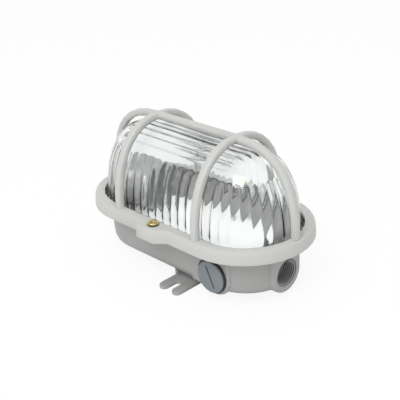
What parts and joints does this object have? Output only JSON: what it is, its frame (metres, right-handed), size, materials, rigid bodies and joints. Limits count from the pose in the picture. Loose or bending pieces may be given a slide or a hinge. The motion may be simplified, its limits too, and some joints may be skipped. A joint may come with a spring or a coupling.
{
  "type": "bulkhead light",
  "caption": "Oval bulkhead light with a ribbed clear glass under a barred guard, a moulded base with slotted feet, a screwed end entry and a plugged side entry.",
  "frame": {"origin": "on the mounting plane, at the middle of the light's bounding box, under the middle of the oval", "axes": "+X along the oval to the open cable entry, +Z from the mounting surface out through the glass, -Y to the side with the plugged entry"},
  "size_m": [0.175, 0.1024, 0.102],
  "materials": {
    "base_plastic": "satin mid grey moulding",
    "guard_plastic": "satin light grey moulding",
    "clear_glass": "clear pressed glass",
    "black_rubber": "matt",
    "brass": "turned and stamped brass",
    "plug_plastic": "half-gloss blue-grey moulding",
    "porcelain": "glazed grey porcelain",
    "white_enamel": "white stoved enamel",
    "plated_steel": "zinc or nickel plating"
  },
  "bodies": {
    "fixture": {"base_housing": "base_plastic", "guard_cage": "guard_plastic", "glass_globe": "clear_glass", "globe_gasket": "black_rubber", "thread_insert_front": "brass", "thread_insert_rear": "brass", "holder_body": "porcelain", "holder_shell": "plated_steel", "side_contact": "plated_steel", "terminal_live": "plated_steel", "terminal_neutral": "plated_steel", "terminal_screw_live": "plated_steel", "terminal_screw_neutral": "plated_steel", "holder_bracket": "plated_steel", "bracket_screw_front": "plated_steel", "bracket_screw_rear": "plated_steel", "holder_screw_lower": "plated_steel", "holder_screw_upper": "plated_steel", "reflector": "white_enamel", "reflector_screw_front": "plated_steel", "reflector_screw_rear": "plated_steel", "earth_plate": "brass", "earth_screw": "brass"},
    "plug_carrier": {"plug_seal": "black_rubber"},
    "plug": {"entry_plug": "plug_plastic"},
    "front_screw_carrier": {"screw_seal_front": "black_rubber"},
    "front_screw": {"guard_screw_front": "brass"},
    "rear_screw_carrier": {"screw_seal_rear": "black_rubber"},
    "rear_screw": {"guard_screw_rear": "brass"},
    "contact": {"centre_contact": "plated_steel"}
  },
  "joints": [
    {"name": "plug_travel", "type": "slide", "parent": "fixture", "child": "plug_carrier", "axis": [0, -1, 0], "range_m": [0, 0.008]},
    {"name": "plug_turn", "type": "hinge", "parent": "plug_carrier", "child": "plug", "pos_m": [0.0425, -0.034, 0.0174], "axis": [0, -1, 0], "range_deg": [0, 1920]},
    {"name": "front_screw_travel", "type": "slide", "parent": "fixture", "child": "front_screw_carrier", "axis": [0, 0, 1], "range_m": [0, 0.0042]},
    {"name": "front_screw_turn", "type": "hinge", "parent": "front_screw_carrier", "child": "front_screw", "pos_m": [0, -0.0428, 0.0445], "axis": [0, 0, 1], "range_deg": [0, 2160]},
    {"name": "rear_screw_travel", "type": "slide", "parent": "fixture", "child": "rear_screw_carrier", "axis": [0, 0, 1], "range_m": [0, 0.0042]},
    {"name": "rear_screw_turn", "type": "hinge", "parent": "rear_screw_carrier", "child": "rear_screw", "pos_m": [0, 0.0428, 0.0445], "axis": [0, 0, 1], "range_deg": [0, 2160]},
    {"name": "contact_press", "type": "slide", "parent": "fixture", "child": "contact", "axis": [-1, 0, 0], "range_m": [0, 0.0015], "stiffness_N_per_m": 1500}
  ],
  "couplings": [
    {"joint": "plug_turn", "follows": "plug_travel", "rad_per_m": 4188.8},
    {"joint": "front_screw_turn", "follows": "front_screw_travel", "rad_per_m": 8976},
    {"joint": "rear_screw_turn", "follows": "rear_screw_travel", "rad_per_m": 8976}
  ]
}
